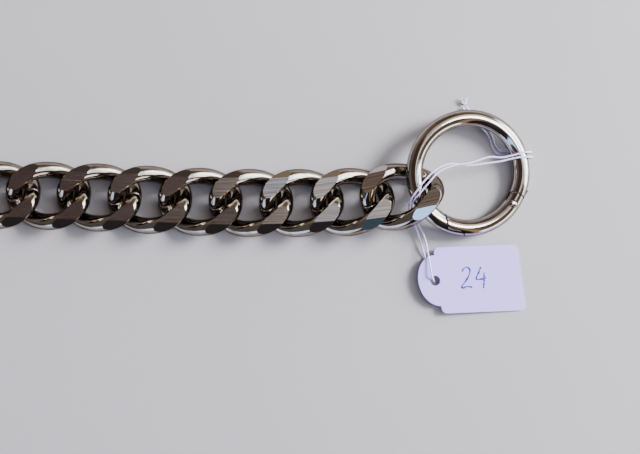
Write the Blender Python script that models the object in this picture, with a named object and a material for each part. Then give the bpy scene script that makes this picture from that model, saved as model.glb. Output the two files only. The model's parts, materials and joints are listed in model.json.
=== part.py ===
"""Milled curb chain with a round spring ring and a card tag tied on with doubled thread.

The chain lies flat and nearly straight along X, its end link at the +X end linked
into the ring. Everything hangs under one empty, which sets the origin on the floor
below the middle of the metal pieces. Metres, +Z up.
"""
from math import atan2, cos, pi, radians, sin

import bmesh
import bpy
import numpy as np
from mathutils import Matrix, Vector
from mathutils.geometry import interpolate_bezier

MM = 0.001

# chain: one link is a wire bent round a squarish oval, twisted end to end, then milled
LINK_COUNT = 24
PITCH = 15.2 * MM
WIRE_RADIUS = 2.45 * MM
LINK_HALF_LENGTH = 10.25 * MM
LINK_HALF_WIDTH = 7.8 * MM
LINK_SQUARENESS = 2.8
LINK_END_TWIST = radians(45)
LINK_STEPS = 24
MILLED_HALF_THICKNESS = 4.65 * MM
BEVEL_EDGE_Y = 7.0 * MM
BEVEL_SLOPE = radians(45)

# how the links lie: a gentle sideways wave, and the turn that the ring gives the end link,
# which fades from link to link. Plan places are measured from the ring's middle.
WAVE_MIDDLE = -7.8 * MM
WAVE_HEIGHT = 1.2 * MM
WAVE_LINKS = 11
WAVE_START = 2.6
END_LINK_X = -19.8 * MM
END_LINK_Y = -6.76 * MM
END_LINK_SLACK = 0.3 * MM
END_LINK_YAW = radians(12.2)
END_LINK_PITCH = radians(-3.0)
END_LINK_ROLL = radians(-18.9)
END_LINK_LIFT = 0.37 * MM
TURN_FADE = 0.55
ROLL_SHAKE = radians(1.4)

# spring ring: centreline radius, wire, tilt off the floor, and the gate's two ends
RING_RADIUS = 16.5 * MM
RING_WIRE_RADIUS = 2.5 * MM
RING_TILT_X = radians(4.2)
RING_TILT_Y = radians(9.55)
RING_SWING_AZIMUTH = radians(200)
RING_STEPS_PER_TURN = 48
PIN_AZIMUTH = radians(326)
GATE_END_RADIUS = 3.6 * MM
BODY_SEAT_RADIUS = 3.9 * MM
NOSE_AZIMUTH = radians(247)
LAP_RADIUS = 17.5 * MM
LAP_END_AZIMUTH = radians(264)
SEAM = 0.3 * MM
TONGUE_RADIUS = 1.85 * MM
TONGUE_HALF_WIDTH = 1.84 * MM
TONGUE_LENGTH = 6.0 * MM
TONGUE_THICKNESS = 1.6 * MM
SLOT_BACK_RADIUS = 2.3 * MM
SLOT_HALF_WIDTH = 3.5 * MM
SLOT_LENGTH = 8.0 * MM
PIN_RADIUS = 0.7 * MM
PIN_HEAD_RADIUS = 1.05 * MM
PIN_HEAD_HEIGHT = 0.45 * MM
PIN_REACH = 2.35 * MM
PIN_GAP = 0.15 * MM

# the wires before they are cut to length, and how far the cutting shapes reach past them
BODY_START = PIN_AZIMUTH + radians(8)
BODY_END = LAP_END_AZIMUTH + radians(368)
GATE_START = NOSE_AZIMUTH - radians(12)
GATE_END = PIN_AZIMUTH + radians(14)
RING_INNER = RING_RADIUS - 2 * RING_WIRE_RADIUS
RING_OUTER = RING_RADIUS + 2 * RING_WIRE_RADIUS
CUTTER_HEIGHT = 4 * RING_WIRE_RADIUS
SEAM_CUT_SPAN = 0.5
HINGE_OUTSIDE_SPAN = 0.1
HINGE_INSIDE_SPAN = 0.2
GATE_INSIDE_AZIMUTH = radians(250)

# tag and thread
TAG_THICKNESS = 0.4 * MM
TAG_HEIGHT = 20.0 * MM
TAG_SHOULDER_X = 0.8 * MM
TAG_RIGHT_X = 26.3 * MM
TAG_TIP_X = -5.1 * MM
TAG_LOBE_HALF_HEIGHT = 7.7 * MM
TAG_CORNER = 1.6 * MM
TAG_SKEW = 0.1
TAG_HOLE_RADIUS = 1.5 * MM
TAG_HOLE_AT = Vector((-9.7, -32.4, 2.1)) * MM
TAG_TURN = radians(2.1)
TAG_TILT = radians(4.0)
THREAD_RADIUS = 0.28 * MM
THREAD_POINTS = 80
KNOT_RADIUS = 0.9 * MM
KNOT_AT = Vector((-0.9, 21.3, 1.0)) * MM

# the thread's one length, from the knot under the ring, round its right side, across the
# eye, down through the end link and the tag's hole, and back beside itself
THREAD_ROUTE = [
    (-0.2, 20.2, 0.9), (1.7, 17.9, 0.6), (4.3, 15.6, 0.5), (6.6, 13.2, 0.4), (7.8, 10.8, 0.4),
    (8.6, 8.4, 0.4), (10.0, 6.9, 0.4), (12.4, 6.6, 0.35), (15.2, 6.3, 0.34), (17.2, 6.2, 0.7),
    (18.7, 6.2, 2.0), (19.1, 6.3, 3.6), (18.4, 6.3, 5.2), (17.0, 6.2, 6.2), (15.2, 5.8, 6.6),
    (12.9, 5.2, 6.6), (10.1, 4.6, 6.9), (6.1, 4.7, 7.8), (0.3, 2.9, 9.4), (-5.4, 1.9, 10.4),
    (-9.3, 0.0, 11.2), (-12.2, -3.1, 11.7), (-14.9, -6.3, 11.2), (-16.4, -8.1, 10.0),
    (-17.0, -9.9, 7.6), (-16.7, -11.9, 4.8), (-15.4, -14.4, 3.2), (-12.8, -19.6, 2.6),
    (-11.5, -26.4, 3.2), (-10.8, -30.6, 3.6), (-10.3, -32.0, 2.7), (-10.2, -32.5, 1.6),
    (-10.9, -31.4, 0.7), (-12.4, -26.1, 0.7), (-14.6, -18.8, 1.8), (-16.4, -14.4, 3.4),
    (-17.6, -11.7, 5.2), (-17.8, -9.4, 8.4), (-17.2, -7.6, 10.6), (-15.8, -5.6, 11.5),
    (-13.2, -2.2, 11.7), (-9.8, 0.9, 10.9), (-5.8, 2.6, 9.7), (0.1, 2.2, 8.6), (5.7, 2.9, 7.6),
    (9.9, 3.5, 6.9), (12.7, 4.2, 6.6), (15.4, 4.7, 6.6), (17.3, 4.8, 6.2), (18.8, 4.8, 5.1),
    (19.4, 4.7, 3.6), (19.1, 4.7, 1.8), (18.0, 4.8, 0.65), (16.6, 5.1, 0.35), (15.0, 5.4, 0.34),
    (12.0, 5.5, 0.35), (9.3, 5.9, 0.4), (7.7, 7.7, 0.4), (6.9, 10.2, 0.4), (5.7, 12.5, 0.4),
    (3.3, 14.9, 0.5), (0.6, 17.4, 0.6), (-1.3, 20.0, 0.9),
]

METAL = (0.62, 0.60, 0.58)
DARK_METAL = (0.45, 0.43, 0.41)
CARD = (0.85, 0.84, 0.90)
COTTON = (0.90, 0.90, 0.93)


def remove_everything():
    """Start from an empty scene."""
    for thing in list(bpy.data.objects):
        bpy.data.objects.remove(thing, do_unlink=True)


def new_collection(name):
    """Add a collection to the scene."""
    collection = bpy.data.collections.new(name)
    bpy.context.scene.collection.children.link(collection)
    return collection


def make_material(name, colour, roughness, metallic):
    """One Principled material."""
    material = bpy.data.materials.new(name)
    material.use_nodes = True
    shader = material.node_tree.nodes["Principled BSDF"]
    shader.inputs["Base Color"].default_value = (*colour, 1.0)
    shader.inputs["Roughness"].default_value = roughness
    shader.inputs["Metallic"].default_value = metallic
    return material


def add_object(name, data, collection, parent=None, matrix=None):
    """Put data in the scene under a parent, placed by a matrix in the parent's frame."""
    thing = bpy.data.objects.new(name, data)
    collection.objects.link(thing)
    thing.parent = parent
    if matrix is not None:
        thing.matrix_local = matrix
    return thing


def add_cutter(name, data, parent, matrix=None):
    """A shape that only cuts or joins others."""
    cutter = add_object(name, data, cutters, parent, matrix)
    cutter.display_type = "WIRE"
    cutter.hide_render = True
    return cutter


def add_boolean(thing, cutter, operation):
    """Join, cut or keep the common part with an exact Boolean."""
    modifier = thing.modifiers.new(cutter.name, "BOOLEAN")
    modifier.object = cutter
    modifier.operation = operation
    modifier.solver = "EXACT"


def tube_curve(name, points, radius, closed=False, sides_setting=2):
    """A round wire along points, with filled ends where it is open."""
    curve = bpy.data.curves.new(name, "CURVE")
    curve.dimensions = "3D"
    curve.bevel_depth = radius
    curve.bevel_resolution = sides_setting
    curve.use_fill_caps = not closed
    spline = curve.splines.new("POLY")
    spline.points.add(len(points) - 1)
    for point, place in zip(spline.points, points):
        point.co = (*place, 1.0)
    spline.use_cyclic_u = closed
    return curve


def flat_curve(name, outlines, thickness):
    """A flat plate from closed outlines, the later ones being holes in the first."""
    curve = bpy.data.curves.new(name, "CURVE")
    curve.dimensions = "2D"
    curve.fill_mode = "BOTH"
    curve.extrude = thickness / 2
    for outline in outlines:
        spline = curve.splines.new("POLY")
        spline.points.add(len(outline) - 1)
        for point, place in zip(spline.points, outline):
            point.co = (place[0], place[1], 0.0, 1.0)
        spline.use_cyclic_u = True
    return curve


def mesh_from_curve(curve):
    """Turn a curve into one welded mesh, and drop the curve."""
    holder = bpy.data.objects.new(curve.name, curve)
    bpy.context.scene.collection.objects.link(holder)
    bpy.context.view_layer.update()
    evaluated = holder.evaluated_get(bpy.context.evaluated_depsgraph_get())
    mesh = bpy.data.meshes.new_from_object(evaluated)
    mesh.name = curve.name
    bpy.data.objects.remove(holder, do_unlink=True)
    shape = bmesh.new()
    shape.from_mesh(mesh)
    bmesh.ops.remove_doubles(shape, verts=shape.verts, dist=0.00001)
    bmesh.ops.recalc_face_normals(shape, faces=shape.faces)
    shape.to_mesh(mesh)
    shape.free()
    mesh.materials.clear()
    return mesh


def finish(mesh, material, sharp_degrees=35):
    """Give a mesh its material and smooth its round parts."""
    mesh.materials.append(material)
    mesh.shade_smooth()
    mesh.set_sharp_from_angle(angle=radians(sharp_degrees))


def arc(centre, radius, start, end, steps):
    """Points along a flat arc."""
    angles = np.linspace(start, end, steps + 1)
    return [(centre[0] + radius * cos(a), centre[1] + radius * sin(a)) for a in angles]


def link_centreline(steps):
    """Points evenly spaced along the twisted oval of one link's wire."""
    turn = np.linspace(0, 2 * pi, 2000)
    power = 2 / LINK_SQUARENESS
    x = LINK_HALF_LENGTH * np.sign(np.cos(turn)) * np.abs(np.cos(turn)) ** power
    y = LINK_HALF_WIDTH * np.sign(np.sin(turn)) * np.abs(np.sin(turn)) ** power
    travel = np.concatenate([[0], np.cumsum(np.hypot(np.diff(x), np.diff(y)))])
    stops = np.arange(steps) * travel[-1] / steps
    x = np.interp(stops, travel, x)
    y = np.interp(stops, travel, y)
    twist = -LINK_END_TWIST * x / LINK_HALF_LENGTH
    return np.column_stack([x, y * np.cos(twist), y * np.sin(twist)])


def mill(shape, point, normal):
    """Cut a mesh flat along a plane and close the cut."""
    everything = shape.verts[:] + shape.edges[:] + shape.faces[:]
    bmesh.ops.bisect_plane(shape, geom=everything, dist=0.000001, plane_co=point,
                           plane_no=normal, clear_outer=True)
    rim = [edge for edge in shape.edges if edge.is_boundary]
    bmesh.ops.holes_fill(shape, edges=rim, sides=0)


def link_mesh():
    """One link: a twisted wire oval with flats and bevels milled on both faces."""
    points = link_centreline(LINK_STEPS)
    mesh = mesh_from_curve(tube_curve("link", points, WIRE_RADIUS, closed=True))
    shape = bmesh.new()
    shape.from_mesh(mesh)
    for face in (1, -1):
        mill(shape, (0, 0, face * MILLED_HALF_THICKNESS), (0, 0, face))
        for side in (1, -1):
            edge = (0, side * BEVEL_EDGE_Y, face * MILLED_HALF_THICKNESS)
            mill(shape, edge, (0, side * sin(BEVEL_SLOPE), face * cos(BEVEL_SLOPE)))
    bmesh.ops.recalc_face_normals(shape, faces=shape.faces)
    shape.to_mesh(mesh)
    shape.free()
    return mesh


def link_middle(index):
    """Where a link's middle lies in plan, the end link being number 0."""
    if index == 0:
        return np.array([END_LINK_X, END_LINK_Y])
    wave = cos(2 * pi * (index - WAVE_START) / WAVE_LINKS)
    return np.array([END_LINK_X + END_LINK_SLACK - index * PITCH,
                     WAVE_MIDDLE - WAVE_HEIGHT * wave])


def link_turn(index):
    """A link's rotation: the end link's turn as it has faded here, and the wave's own way."""
    fade = TURN_FADE ** index
    wave_step = 2 * pi / WAVE_LINKS
    wave_slope = -WAVE_HEIGHT * wave_step * sin(wave_step * (index - WAVE_START)) / PITCH
    yaw = END_LINK_YAW * fade + wave_slope * (1 - fade)
    pitch = END_LINK_PITCH if index == 0 else 0.0
    roll = END_LINK_ROLL * fade + ROLL_SHAKE * sin(2.1 * index)
    return (Matrix.Rotation(yaw, 4, "Z") @ Matrix.Rotation(pitch, 4, "Y")
            @ Matrix.Rotation(roll, 4, "X"))


def floor_height(mesh, turn):
    """How high a turned mesh's origin must be for it to lie on the floor."""
    return -min((turn @ vertex.co).z for vertex in mesh.vertices)


def add_links(root, material):
    """The links, each under an empty on the axis it turns about."""
    mesh = link_mesh()
    finish(mesh, material)
    for index in range(LINK_COUNT):
        turn = link_turn(index)
        x, y = link_middle(index)
        height = floor_height(mesh, turn) + (END_LINK_LIFT if index == 0 else 0)
        place = Matrix.Translation((x, y, height)) @ turn
        name = "link_%02d" % (index + 1)
        if index == 0:
            add_object(name, mesh, metal_parts, root, place)
            continue
        nearer_x, nearer_y = link_middle(index - 1)
        axis_place = Matrix.Translation(
            ((x + nearer_x) / 2, (y + nearer_y) / 2, MILLED_HALF_THICKNESS))
        hinge = add_object("bend_%02d" % (index + 1), None, metal_parts, root, axis_place)
        add_object(name, mesh, metal_parts, hinge, axis_place.inverted() @ place)


def ring_place():
    """The ring's tilt, with its lowest point on the floor."""
    turn = Matrix.Rotation(RING_TILT_Y, 4, "Y") @ Matrix.Rotation(RING_TILT_X, 4, "X")
    axis = turn @ Vector((0, 0, 1))
    height = RING_WIRE_RADIUS + RING_RADIUS * (1 - axis.z ** 2) ** 0.5
    return Matrix.Translation((0, 0, height)) @ turn


def on_ring(azimuth, radius=RING_RADIUS):
    """A point of the ring's own plane."""
    return np.array([radius * cos(azimuth), radius * sin(azimuth)])


def ring_arc(start, end):
    """Points along the ring's centreline."""
    steps = round((end - start) / (2 * pi) * RING_STEPS_PER_TURN)
    return [(x, y, 0.0) for x, y in arc((0, 0), RING_RADIUS, start, end, steps)]


def plate(name, outline, thickness):
    """A solid flat plate as a mesh."""
    return mesh_from_curve(flat_curve(name, [outline], thickness))


def seam_arc(radius, start_radius, end_radius, steps=8):
    """Points at one distance from the pin, from one distance off the ring's centre to another."""
    pin = on_ring(PIN_AZIMUTH)
    heading = atan2(pin[1], pin[0])
    offset = np.hypot(*pin)
    points = []
    for reach in np.linspace(start_radius, end_radius, steps + 1):
        opening = (offset ** 2 + radius ** 2 - reach ** 2) / (2 * offset * radius)
        angle = heading + pi + np.arccos(opening)
        points.append((pin[0] + radius * cos(angle), pin[1] + radius * sin(angle)))
    return points


def pin_reach(azimuth, radius):
    """The distance from the pin to a point of the ring's plane."""
    return float(np.hypot(*(on_ring(azimuth, radius) - on_ring(PIN_AZIMUTH))))


def stepped_seam(gap):
    """The seam between gate and body, shifted from the middle by a gap: nose, lap and lip.

    Nose and lip are arcs about the pin, so that the gate swings clear of the body."""
    lap = LAP_RADIUS + gap
    nose = seam_arc(pin_reach(NOSE_AZIMUTH, RING_RADIUS) + gap, RING_INNER, lap)
    lip = seam_arc(pin_reach(LAP_END_AZIMUTH, LAP_RADIUS) + gap, lap, RING_OUTER)
    start = atan2(nose[-1][1], nose[-1][0]) % (2 * pi)
    end = atan2(lip[0][1], lip[0][0]) % (2 * pi)
    return nose + arc((0, 0), lap, start, end, 5)[1:-1] + lip


def body_seam_outline():
    """What the gate's nose takes out of the ring's body."""
    beyond = LAP_END_AZIMUTH + SEAM_CUT_SPAN
    return stepped_seam(SEAM / 2) + [tuple(on_ring(beyond, RING_OUTER)),
                                     tuple(on_ring(beyond, RING_INNER))]


def gate_outline():
    """The gate seen from above: stepped seam, outer side, rounded hinge end and inner side."""
    seam = stepped_seam(-SEAM / 2)
    start = atan2(seam[-1][1], seam[-1][0]) % (2 * pi)
    outside = arc((0, 0), RING_OUTER, start, PIN_AZIMUTH - HINGE_OUTSIDE_SPAN, 10)[1:]
    along = PIN_AZIMUTH + pi / 2
    hinge_end = arc(on_ring(PIN_AZIMUTH), GATE_END_RADIUS, along - pi / 2, along + pi / 2, 14)
    inside = arc((0, 0), RING_INNER, PIN_AZIMUTH - HINGE_INSIDE_SPAN, GATE_INSIDE_AZIMUTH, 6)
    return seam + outside + hinge_end + inside


def tongue_outline(radius, half_width, length):
    """A plate rounded behind the pin that runs on towards the ring's body."""
    along = PIN_AZIMUTH + pi / 2
    pin = on_ring(PIN_AZIMUTH)
    forward = np.array([cos(along), sin(along)])
    side = np.array([-forward[1], forward[0]])
    back = arc(pin, radius, along + pi / 2, along + 3 * pi / 2, 10)
    ahead = [pin - side * half_width, pin + forward * length - side * half_width,
             pin + forward * length + side * half_width, pin + side * half_width]
    return back + [tuple(place) for place in ahead]


def turned(name, profile, steps=16):
    """A turned solid about its own Z from (radius, height) pairs, top to bottom."""
    shape = bmesh.new()
    spun = [shape.verts.new((radius, 0, height)) for radius, height in profile]
    edges = [shape.edges.new(pair) for pair in zip(spun, spun[1:])]
    bmesh.ops.spin(shape, geom=spun + edges, cent=(0, 0, 0), axis=(0, 0, 1), angle=2 * pi,
                   steps=steps, use_merge=True)
    bmesh.ops.remove_doubles(shape, verts=shape.verts, dist=0.00001)
    bmesh.ops.recalc_face_normals(shape, faces=shape.faces)
    mesh = bpy.data.meshes.new(name)
    shape.to_mesh(mesh)
    shape.free()
    return mesh


def pin_profile(shaft, head, head_bottom, top):
    """Half of a two-headed pin, from the top centre down."""
    upper = [(0, top), (head, top), (head, head_bottom), (shaft, head_bottom)]
    return upper + [(radius, -height) for radius, height in reversed(upper)]


def add_ring(root, steel, gate_steel):
    """The ring: a long body, a sprung gate and the pin the gate turns on."""
    swing_place = ring_place() @ Matrix.Translation((*on_ring(RING_SWING_AZIMUTH), 0))
    swing = add_object("ring_swing", None, metal_parts, root, swing_place)
    frame = add_object("ring_frame", None, metal_parts, swing,
                       swing_place.inverted() @ ring_place())
    pin_place = Matrix.Translation((*on_ring(PIN_AZIMUTH), 0))

    body_mesh = mesh_from_curve(tube_curve(
        "ring_body", ring_arc(BODY_START, BODY_END), RING_WIRE_RADIUS, sides_setting=4))
    finish(body_mesh, steel)
    body = add_object("ring_body", body_mesh, metal_parts, frame)
    half = CUTTER_HEIGHT / 2
    seam = add_cutter("nose_seam", plate("nose_seam", body_seam_outline(), CUTTER_HEIGHT), frame)
    seat = add_cutter("hinge_seat", turned("hinge_seat", [
        (0, half), (BODY_SEAT_RADIUS, half), (BODY_SEAT_RADIUS, -half), (0, -half)], steps=32),
        frame, pin_place)
    tongue = add_cutter("tongue", plate("tongue", tongue_outline(
        TONGUE_RADIUS, TONGUE_HALF_WIDTH, TONGUE_LENGTH), TONGUE_THICKNESS), frame)
    hole = add_cutter("pin_hole", turned("pin_hole", [
        (0, half), (PIN_RADIUS + PIN_GAP, half), (PIN_RADIUS + PIN_GAP, -half), (0, -half)]),
        frame, pin_place)
    for cutter, operation in ((seam, "DIFFERENCE"), (seat, "DIFFERENCE"), (tongue, "UNION"),
                              (hole, "DIFFERENCE")):
        add_boolean(body, cutter, operation)

    gate_frame = add_object("gate_frame", None, metal_parts, frame, pin_place)
    gate_mesh = mesh_from_curve(tube_curve(
        "ring_gate", ring_arc(GATE_START, GATE_END), RING_WIRE_RADIUS, sides_setting=4))
    finish(gate_mesh, gate_steel)
    gate = add_object("ring_gate", gate_mesh, metal_parts, gate_frame, pin_place.inverted())
    reach = add_cutter("gate_reach", plate("gate_reach", gate_outline(), CUTTER_HEIGHT), frame)
    slot = add_cutter("gate_slot", plate("gate_slot", tongue_outline(
        SLOT_BACK_RADIUS, SLOT_HALF_WIDTH, SLOT_LENGTH), TONGUE_THICKNESS + 2 * SEAM), frame)
    bore = add_cutter("gate_bore", turned("gate_bore", pin_profile(
        PIN_RADIUS + PIN_GAP, PIN_HEAD_RADIUS + PIN_GAP,
        PIN_REACH - PIN_HEAD_HEIGHT - PIN_GAP, half)), frame, pin_place)
    for cutter, operation in ((reach, "INTERSECT"), (slot, "DIFFERENCE"), (bore, "DIFFERENCE")):
        add_boolean(gate, cutter, operation)

    pin_mesh = turned("ring_pin", pin_profile(PIN_RADIUS, PIN_HEAD_RADIUS,
                                              PIN_REACH - PIN_HEAD_HEIGHT, PIN_REACH))
    finish(pin_mesh, gate_steel)
    add_object("ring_pin", pin_mesh, metal_parts, frame, pin_place)


def tag_outlines():
    """The tag's edge, cut a little out of square round the middle of its hole, and the hole."""
    half = TAG_HEIGHT / 2
    corner = TAG_CORNER
    left = TAG_SHOULDER_X
    right = TAG_RIGHT_X
    lobe_depth = TAG_SHOULDER_X - TAG_TIP_X
    lobe = [(left + lobe_depth * cos(a), TAG_LOBE_HALF_HEIGHT * sin(a))
            for a in np.linspace(pi / 2, 3 * pi / 2, 15)]
    edge = lobe
    edge += arc((left + corner, -half + corner), corner, pi, 1.5 * pi, 3)
    edge += arc((right - corner, -half + corner), corner, 1.5 * pi, 2 * pi, 3)
    edge += arc((right - corner, half - corner), corner, 0, pi / 2, 3)
    edge += arc((left + corner, half - corner), corner, pi / 2, pi, 3)
    edge = [(x - TAG_SKEW * y, y) for x, y in edge]
    hole = arc((0, 0), TAG_HOLE_RADIUS, 0, 2 * pi, 14)[:-1]
    return [edge, hole]


def add_tag(root, material):
    """The card tag, its hole end held a little off the floor by the thread."""
    turn = Matrix.Rotation(TAG_TURN, 4, "Z") @ Matrix.Rotation(TAG_TILT, 4, "Y")
    mesh = mesh_from_curve(flat_curve("tag", tag_outlines(), TAG_THICKNESS))
    finish(mesh, material)
    add_object("tag", mesh, soft_parts, root, Matrix.Translation(TAG_HOLE_AT) @ turn)


def set_origin(root):
    """Move everything so that the metal pieces' box stands on the origin, centred."""
    bpy.context.view_layer.update()
    depsgraph = bpy.context.evaluated_depsgraph_get()
    corners = []
    for thing in metal_parts.objects:
        if thing.type == "MESH":
            solid = thing.evaluated_get(depsgraph)
            corners += [thing.matrix_world @ vertex.co for vertex in solid.data.vertices]
    corners = np.array(corners)
    low, high = corners.min(axis=0), corners.max(axis=0)
    root.location = (-(low[0] + high[0]) / 2, -(low[1] + high[1]) / 2, -low[2])


def smooth_route(stops, count):
    """Points evenly spaced along one smooth curve through the stops."""
    stops = [Vector(stop) for stop in stops]
    fine = []
    for index in range(len(stops) - 1):
        before = stops[max(index - 1, 0)]
        start, end = stops[index], stops[index + 1]
        after = stops[min(index + 2, len(stops) - 1)]
        reach = (end - start).length / 3
        leave = (end - before).normalized() * reach
        arrive = (after - start).normalized() * reach
        piece = interpolate_bezier(start, start + leave, end - arrive, end, 40)
        fine += piece[:-1]
    fine.append(stops[-1])
    fine = np.array(fine)
    steps = np.linalg.norm(np.diff(fine, axis=0), axis=1)
    travel = np.concatenate([[0], np.cumsum(steps)])
    even = np.linspace(0, travel[-1], count)
    return np.column_stack([np.interp(even, travel, fine[:, axis]) for axis in range(3)])


def add_thread(root, material):
    """The thread's one doubled length, and the knot where its ends meet."""
    stops = np.array(THREAD_ROUTE) * MM
    curve = tube_curve("thread", smooth_route(stops, THREAD_POINTS), THREAD_RADIUS)
    curve.materials.append(material)
    add_object("thread", curve, soft_parts, root)
    shape = bmesh.new()
    bmesh.ops.create_icosphere(shape, subdivisions=2, radius=KNOT_RADIUS)
    knot_mesh = bpy.data.meshes.new("thread_knot")
    shape.to_mesh(knot_mesh)
    shape.free()
    finish(knot_mesh, material, sharp_degrees=80)
    add_object("thread_knot", knot_mesh, soft_parts, root, Matrix.Translation(KNOT_AT))


remove_everything()
metal_parts = new_collection("curb_chain")
soft_parts = new_collection("tag_and_thread")
cutters = new_collection("cutters")
chain_root = add_object("chain_root", None, metal_parts)
add_links(chain_root, make_material("link_nickel", METAL, 0.18, 1.0))
add_ring(chain_root, make_material("ring_nickel", METAL, 0.1, 1.0),
         make_material("gate_nickel", DARK_METAL, 0.12, 1.0))
add_tag(chain_root, make_material("tag_card", CARD, 0.7, 0.0))
add_thread(chain_root, make_material("white_thread", COTTON, 0.8, 0.0))
set_origin(chain_root)
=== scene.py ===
import json
from math import atan2, cos, hypot, pi, radians, sin

import bmesh
import bpy
import numpy as np
from mathutils import Matrix, Vector
from mathutils.geometry import interpolate_bezier

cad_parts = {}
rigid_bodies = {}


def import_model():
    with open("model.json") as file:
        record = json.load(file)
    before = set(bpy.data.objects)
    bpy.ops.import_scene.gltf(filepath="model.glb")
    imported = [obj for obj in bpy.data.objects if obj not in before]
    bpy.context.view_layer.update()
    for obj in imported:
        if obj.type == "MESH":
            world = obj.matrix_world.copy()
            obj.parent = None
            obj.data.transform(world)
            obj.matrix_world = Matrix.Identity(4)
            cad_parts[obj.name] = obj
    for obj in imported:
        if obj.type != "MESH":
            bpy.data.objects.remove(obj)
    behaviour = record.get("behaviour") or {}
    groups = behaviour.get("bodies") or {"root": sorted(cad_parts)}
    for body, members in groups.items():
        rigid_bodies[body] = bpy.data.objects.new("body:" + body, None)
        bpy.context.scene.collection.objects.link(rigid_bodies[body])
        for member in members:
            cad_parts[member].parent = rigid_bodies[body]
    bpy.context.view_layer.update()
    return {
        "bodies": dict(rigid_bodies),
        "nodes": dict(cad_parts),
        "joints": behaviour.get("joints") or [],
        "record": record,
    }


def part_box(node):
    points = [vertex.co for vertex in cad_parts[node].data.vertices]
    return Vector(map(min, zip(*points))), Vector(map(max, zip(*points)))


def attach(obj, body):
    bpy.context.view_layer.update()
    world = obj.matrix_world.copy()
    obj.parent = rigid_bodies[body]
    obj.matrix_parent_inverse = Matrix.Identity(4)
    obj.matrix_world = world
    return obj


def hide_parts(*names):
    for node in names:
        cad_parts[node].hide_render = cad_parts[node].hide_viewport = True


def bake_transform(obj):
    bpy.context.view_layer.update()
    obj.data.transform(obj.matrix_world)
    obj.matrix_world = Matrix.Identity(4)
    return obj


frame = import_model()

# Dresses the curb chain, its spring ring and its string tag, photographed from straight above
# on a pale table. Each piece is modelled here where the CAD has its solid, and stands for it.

nodes = frame["nodes"]
MM = 0.001

# ---------------------------------------------------------------- the CAD's sizes, repeated

LINK_COUNT = 24
PITCH = 15.2
WIRE_RADIUS = 2.45
LINK_HALF_LENGTH = 10.25
LINK_HALF_WIDTH = 7.8
LINK_SQUARENESS = 2.8
LINK_END_TWIST = radians(45)
MILLED_HALF_THICKNESS = 4.65
BEVEL_EDGE_Y = 7.0
BEVEL_SLOPE = radians(45)
WAVE_HEIGHT = 1.2
WAVE_LINKS = 11
WAVE_START = 2.6
END_LINK_YAW = radians(12.2)
END_LINK_PITCH = radians(-3.0)
END_LINK_ROLL = radians(-18.9)
TURN_FADE = 0.55
ROLL_SHAKE = radians(1.4)

RING_RADIUS = 16.5
RING_WIRE_RADIUS = 2.5
RING_TILT_X = radians(4.2)
RING_TILT_Y = radians(9.55)
PIN_AZIMUTH = radians(326)
GATE_END_RADIUS = 3.5
BODY_SEAT_RADIUS = 3.9
NOSE_AZIMUTH = radians(247)
LAP_RADIUS = 17.5
LAP_END_AZIMUTH = radians(264)
SEAM = 0.5
TONGUE_HALF_WIDTH = 1.84
TONGUE_END_RADIUS = 1.85
TONGUE_HALF_THICKNESS = 0.8
SLOT_HALF_WIDTH = 3.5
SLOT_END_RADIUS = 2.3
SLOT_HALF_THICKNESS = 1.1
PIN_HEAD_RADIUS = 1.05
PIN_HEAD_THICKNESS = 0.45
PIN_DOME = 0.28
PIN_SHAFT_RADIUS = 0.7
PIN_BORE_RADIUS = 0.85
PIN_REACH = 2.35
RING_INNER = RING_RADIUS - 2 * RING_WIRE_RADIUS
RING_OUTER = RING_RADIUS + 2 * RING_WIRE_RADIUS

TAG_THICKNESS = 0.4
TAG_HEIGHT = 20.0
TAG_SHOULDER_X = 0.8
TAG_RIGHT_X = 26.3
TAG_TIP_X = -5.1
TAG_LOBE_HALF_HEIGHT = 7.7
TAG_CORNER = 1.6
TAG_SKEW = 0.1
TAG_HOLE_RADIUS = 1.5
TAG_HOLE_AT = Vector((-9.7, -32.4, 2.1))
TAG_TURN = radians(2.1)
TAG_TILT = radians(4.0)

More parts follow.
